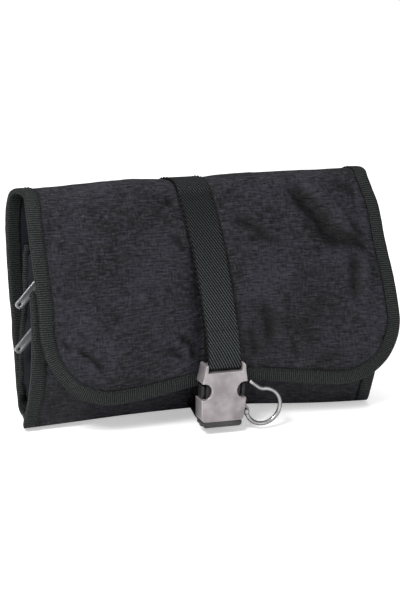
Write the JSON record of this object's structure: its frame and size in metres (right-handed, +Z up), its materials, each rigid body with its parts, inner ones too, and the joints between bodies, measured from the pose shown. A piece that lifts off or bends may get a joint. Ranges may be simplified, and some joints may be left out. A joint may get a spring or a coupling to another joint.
{
  "type": "hanging toiletry bag",
  "caption": "Folded hanging toiletry bag with a bound fabric flap, zipped pouches, a webbing strap with a side-release buckle and a swing-out wire hook.",
  "frame": {"origin": "on the floor under the middle of the folded bag, on its flat base", "axes": "+X to the right along the bag's width, +Y from the flap to the back panel, +Z up from the base to the top fold"},
  "size_m": [0.2644, 0.0774, 0.1667],
  "materials": {
    "shell_fabric": "crinkled black nylon with a faint sheen",
    "binding_tape": "ribbed grosgrain tape",
    "webbing": "diagonal twill webbing",
    "lining": "plain woven lining",
    "net": "open knitted net",
    "zip_tape": "woven zip tape with a moulded coil",
    "buckle": "satin grey moulded plastic",
    "hook_wire": "satin nickel-plated wire",
    "zip_metal": "satin die-cast metal"
  },
  "bodies": {
    "back": {"back_panel": "shell_fabric", "back_binding_left": "binding_tape", "back_binding_right": "binding_tape", "back_strap": "webbing", "back_pouch": "lining", "back_pouch_binding": "binding_tape", "back_zip": "zip_tape"},
    "flap": {"flap_panel": "shell_fabric", "flap_binding": "binding_tape", "flap_strap": "webbing", "strap_loop": "webbing", "flap_mesh": "net", "mesh_hem": "binding_tape", "buckle_socket": "buckle"},
    "hook": {"hanging_hook": "hook_wire"},
    "front": {"front_panel": "shell_fabric", "front_binding": "binding_tape", "front_pouch": "lining", "front_pouch_binding": "binding_tape", "front_zip": "zip_tape", "lower_strap": "webbing", "buckle_plug": "buckle"},
    "left_prong": {"prong_left": "buckle"},
    "right_prong": {"prong_right": "buckle"},
    "back_slider": {"back_zip_slider": "zip_metal", "back_zip_pull": "zip_metal"},
    "front_slider": {"front_zip_slider": "zip_metal", "front_zip_pull": "zip_metal"}
  },
  "joints": [
    {"name": "flap_fold", "type": "hinge", "parent": "back", "child": "flap", "pos_m": [0, -0.00088, 0.15729], "axis": [-1, 0, 0], "range_deg": [0, 150]},
    {"name": "front_fold", "type": "hinge", "parent": "back", "child": "front", "pos_m": [0, -0.016, 0.0004], "axis": [1, 0, 0], "range_deg": [0, 90]},
    {"name": "hook_swing", "type": "hinge", "parent": "flap", "child": "hook", "pos_m": [0.0188, -0.04834, 0.0141], "axis": [0, 1, 0], "range_deg": [0, 45]},
    {"name": "right_squeeze", "type": "hinge", "parent": "front", "child": "right_prong", "pos_m": [0.0094, -0.04614, 0.0125], "axis": [0, -1, 0], "range_deg": [0, 9], "stiffness_Nm_per_rad": 0.2},
    {"name": "left_squeeze", "type": "hinge", "parent": "front", "child": "left_prong", "pos_m": [-0.0094, -0.04614, 0.0125], "axis": [0, 1, 0], "range_deg": [0, 9], "stiffness_Nm_per_rad": 0.2},
    {"name": "back_zip_run", "type": "slide", "parent": "back", "child": "back_slider", "axis": [1, 0, 0], "range_m": [0, 0.228]},
    {"name": "front_zip_run", "type": "slide", "parent": "front", "child": "front_slider", "axis": [1, 0, 0], "range_m": [0, 0.228]}
  ],
  "couplings": [
    {"joint": "front_fold", "follows": "flap_fold", "ratio": 0.6},
    {"joint": "left_squeeze", "follows": "right_squeeze", "ratio": 1}
  ]
}
